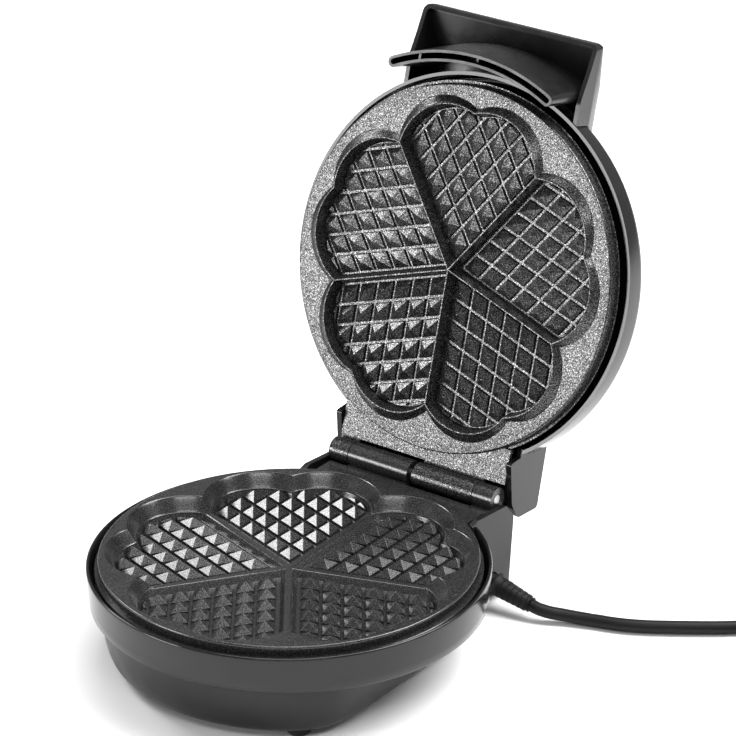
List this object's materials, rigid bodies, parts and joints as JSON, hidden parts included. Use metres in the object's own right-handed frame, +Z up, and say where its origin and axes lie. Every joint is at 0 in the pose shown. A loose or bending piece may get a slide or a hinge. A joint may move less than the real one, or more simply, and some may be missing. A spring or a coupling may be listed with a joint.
{
  "type": "waffle maker",
  "caption": "Countertop waffle maker with a round hinged lid, patterned heart-shaped cooking wells, a hooded front handle and a mains cord.",
  "frame": {"origin": "centre of the appliance's footprint box on the table, with the cord left out", "axes": "+X along the hinge, +Y towards the hinge and the opened lid, +Z up; the front is at -Y"},
  "size_m": [0.3978, 0.3088, 0.2824],
  "materials": {
    "shell": "glossy dark heat-proof plastic shells",
    "housing": "satin dark plastic pan and rear housing",
    "grip": "matte black plastic handle, guard and knob",
    "lower_plate": "cast, dark speckled non-stick coating",
    "upper_plate": "cast, lighter speckled non-stick coating",
    "steel": "plain steel screws, pins and brackets",
    "foil": "bright pressed reflector",
    "element": "dull heater sheath",
    "ceramic": "pale insulator",
    "rubber": "black rubber",
    "cord": "black flexible sheath",
    "red_lens": "clear red lens",
    "green_lens": "clear green lens"
  },
  "bodies": {
    "base": {"lower_plate": "lower_plate", "lower_heating_element": "element", "lower_reflector": "foil", "lower_shell": "shell", "base_pan": "housing", "rear_housing": "housing", "terminal_block": "ceramic", "thermal_fuse": "steel", "inner_lead": "cord", "strain_relief": "rubber", "hinge_pin": "steel", "foot_front_left": "rubber", "foot_front_right": "rubber", "foot_rear_left": "rubber", "foot_rear_right": "rubber", "pan_screw_1": "steel", "pan_screw_2": "steel", "pan_screw_3": "steel", "pan_screw_4": "steel", "lower_plate_screw_1": "steel", "lower_plate_screw_2": "steel", "cord": "cord", "cord_coil": "cord", "cord_end": "cord", "cord_tie": "rubber", "plug": "rubber", "plug_pin_left": "steel", "plug_pin_right": "steel"},
    "lid": {"upper_plate": "upper_plate", "upper_heating_element": "element", "upper_reflector": "foil", "lid_shell": "shell", "lid_top_cover": "shell", "lid_rear_block": "shell", "lid_rear_bracket": "steel", "handle": "grip", "heat_guard": "grip", "thermostat": "steel", "power_lamp_lens": "red_lens", "power_lamp": "ceramic", "ready_lamp_lens": "green_lens", "ready_lamp": "ceramic", "lid_lead": "cord", "block_screw_1": "steel", "block_screw_2": "steel", "upper_plate_screw_1": "steel", "upper_plate_screw_2": "steel"},
    "dial": {"thermostat_shaft": "steel", "thermostat_knob": "grip"}
  },
  "joints": [
    {"name": "lid_hinge", "type": "hinge", "parent": "base", "child": "lid", "pos_m": [0, 0.05851, 0.0563], "axis": [1, 0, 0], "range_deg": [0, 106]},
    {"name": "thermostat_turn", "type": "hinge", "parent": "lid", "child": "dial", "pos_m": [0, 0.13888, 0.2125], "axis": [0, 0.9613, -0.2756], "range_deg": [0, 270]}
  ]
}
